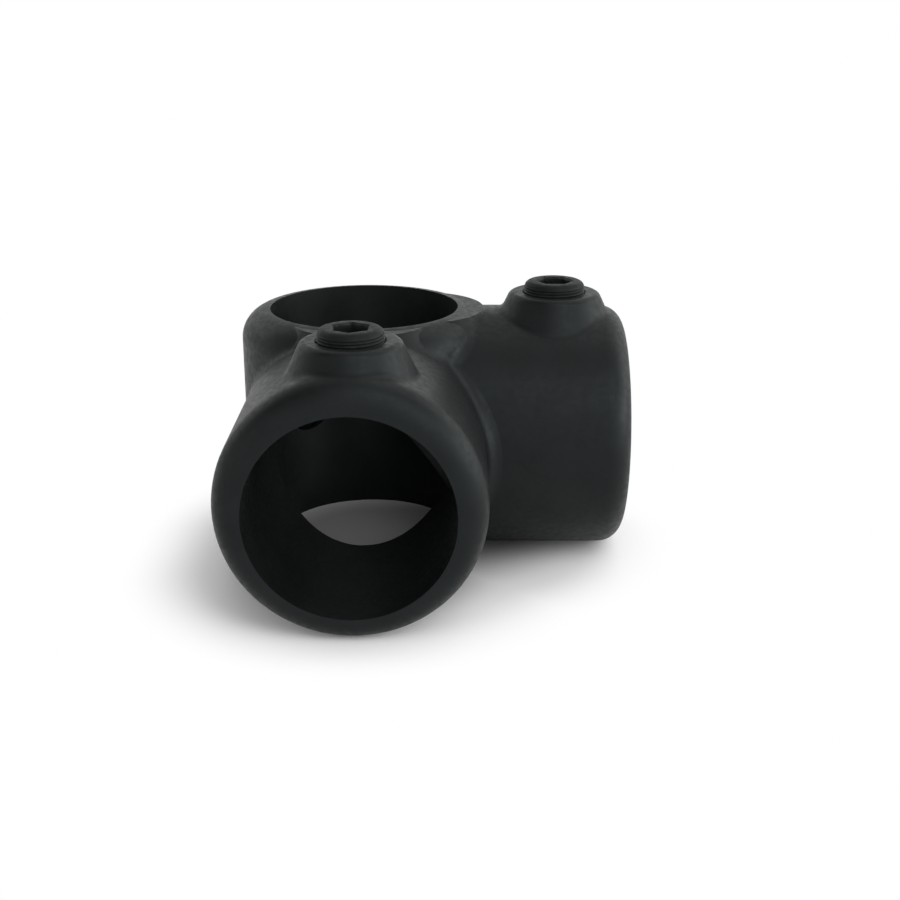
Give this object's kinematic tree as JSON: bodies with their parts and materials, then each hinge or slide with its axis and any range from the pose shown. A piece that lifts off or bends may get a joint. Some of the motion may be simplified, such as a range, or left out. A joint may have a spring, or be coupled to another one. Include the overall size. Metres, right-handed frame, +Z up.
{
  "type": "corner tube connector",
  "caption": "Cast corner connector for round tube: an upright passes through the collar, level tubes enter sockets at right angles, and hex-socket set screws clamp each tube.",
  "frame": {"origin": "the point where the axes of the three tube bores cross", "axes": "+Z up along the upright tube, +X out of the side socket, -Y out of the front socket"},
  "size_m": [0.1028, 0.1028, 0.0717],
  "materials": {
    "black_casting": "matt black coat over malleable cast iron",
    "black_steel": "blackened steel, lightly oiled"
  },
  "bodies": {
    "casting": {"clamp_body": "black_casting"},
    "front_screw": {"front_set_screw": "black_steel"},
    "side_screw": {"side_set_screw": "black_steel"},
    "upright_screw": {"upright_set_screw": "black_steel"}
  },
  "joints": [
    {"name": "front_screw_travel", "type": "slide", "parent": "casting", "child": "front_screw", "axis": [0, 0, -1], "range_m": [-0.006, 0.003]},
    {"name": "side_screw_travel", "type": "slide", "parent": "casting", "child": "side_screw", "axis": [0, 0, -1], "range_m": [-0.006, 0.003]},
    {"name": "upright_screw_travel", "type": "slide", "parent": "casting", "child": "upright_screw", "axis": [0.7071, -0.7071, 0], "range_m": [-0.006, 0.003]}
  ]
}
